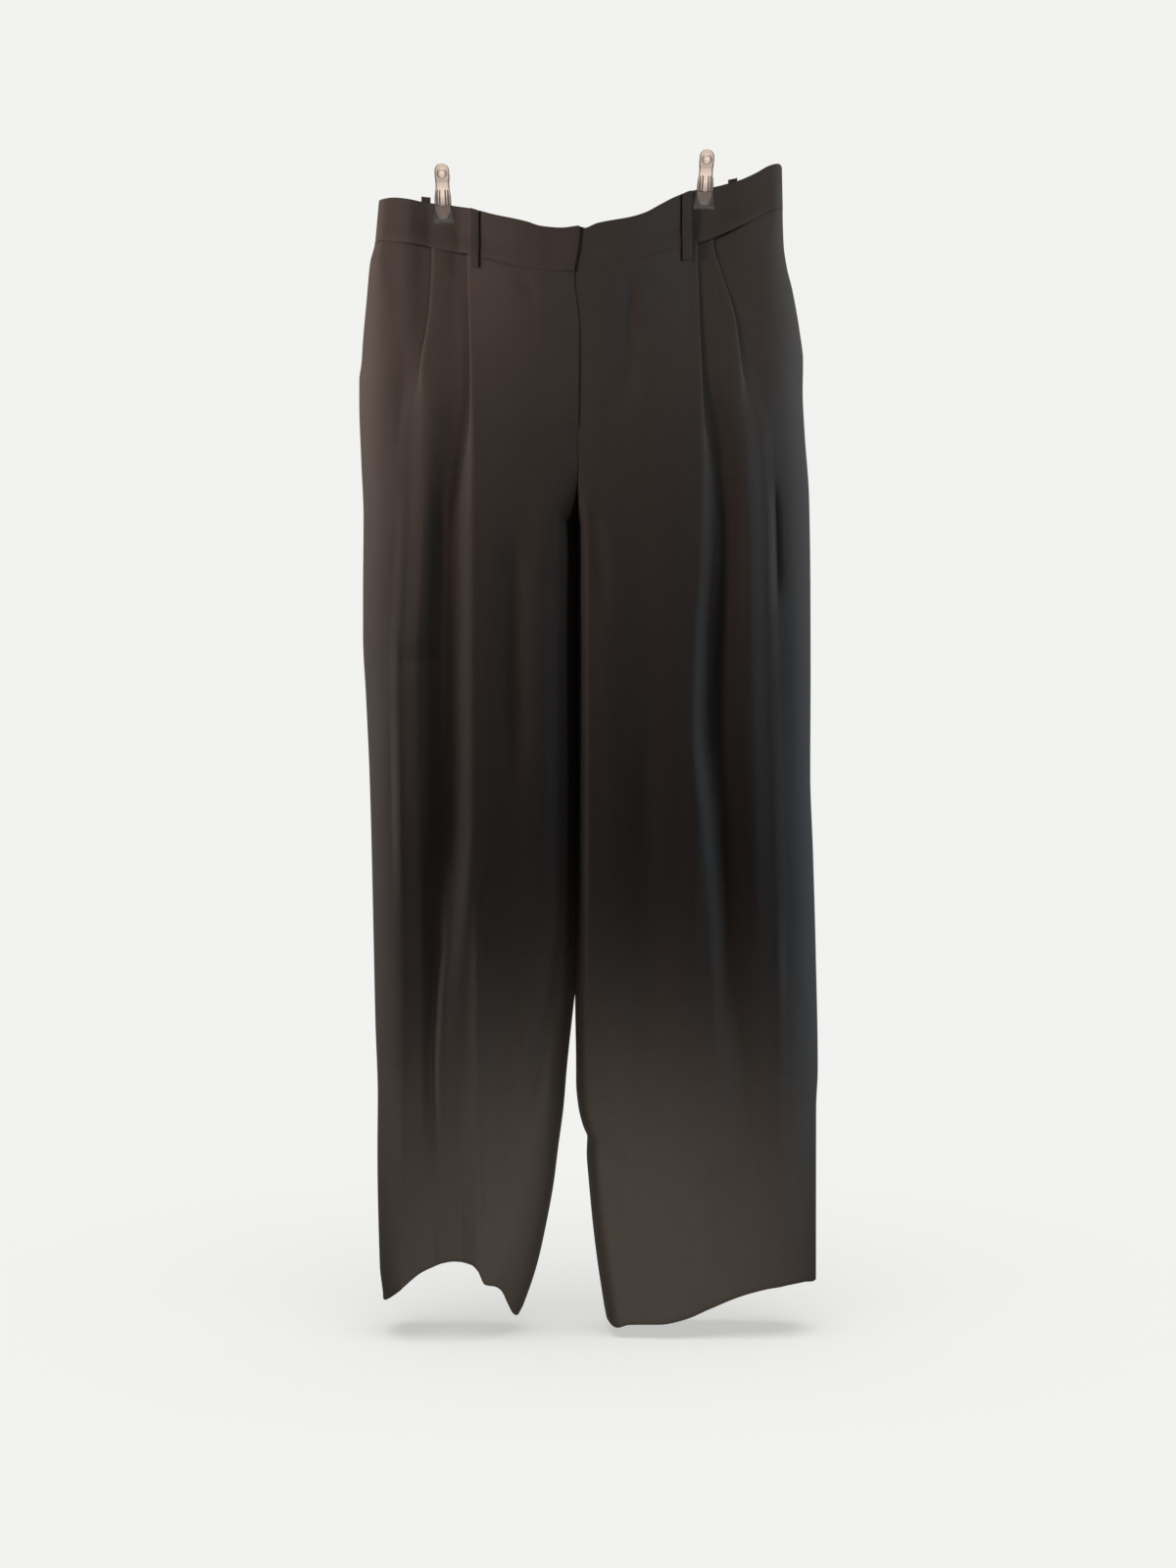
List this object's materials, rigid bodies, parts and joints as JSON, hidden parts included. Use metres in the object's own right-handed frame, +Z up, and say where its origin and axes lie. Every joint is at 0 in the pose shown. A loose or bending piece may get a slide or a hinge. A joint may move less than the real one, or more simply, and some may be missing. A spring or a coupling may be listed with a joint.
{
  "type": "pleated suit trousers on two hanger clips",
  "caption": "Straight-leg pleated suit trousers with a belt-loop waistband, hanging flat from two sprung metal hanger clips.",
  "frame": {"origin": "centre of the hole in the front lever of the clip on the wearer's right, where the part hangs", "axes": "+Z up, the garment's front faces -Y, +X towards the wearer's left"},
  "size_m": [0.4491, 0.1134, 1.1422],
  "materials": {
    "suiting": "matt, fine plain weave with a slight sheen",
    "clip_plate": "bright warm plating on stamped steel",
    "clip_grip": "clear smoky soft vinyl",
    "clip_spring": "plain spring steel"
  },
  "bodies": {
    "root": {"front_right": "suiting", "front_left": "suiting", "back_right": "suiting", "back_left": "suiting", "waistband_front_right": "suiting", "waistband_front_left": "suiting", "waistband_back": "suiting", "fly_shield": "suiting", "pocket_right": "suiting", "pocket_left": "suiting", "belt_loop_front_right": "suiting", "belt_loop_front_left": "suiting", "belt_loop_back_right": "suiting", "belt_loop_back_centre": "suiting", "belt_loop_back_left": "suiting", "clip_right_front_plate": "clip_plate", "clip_right_front_grip": "clip_grip", "clip_right_back_plate": "clip_plate", "clip_right_back_grip": "clip_grip", "clip_right_spring": "clip_spring", "clip_right_pin": "clip_spring", "clip_left_front_plate": "clip_plate", "clip_left_front_grip": "clip_grip", "clip_left_back_plate": "clip_plate", "clip_left_back_grip": "clip_grip", "clip_left_spring": "clip_spring", "clip_left_pin": "clip_spring"}
  },
  "joints": []
}
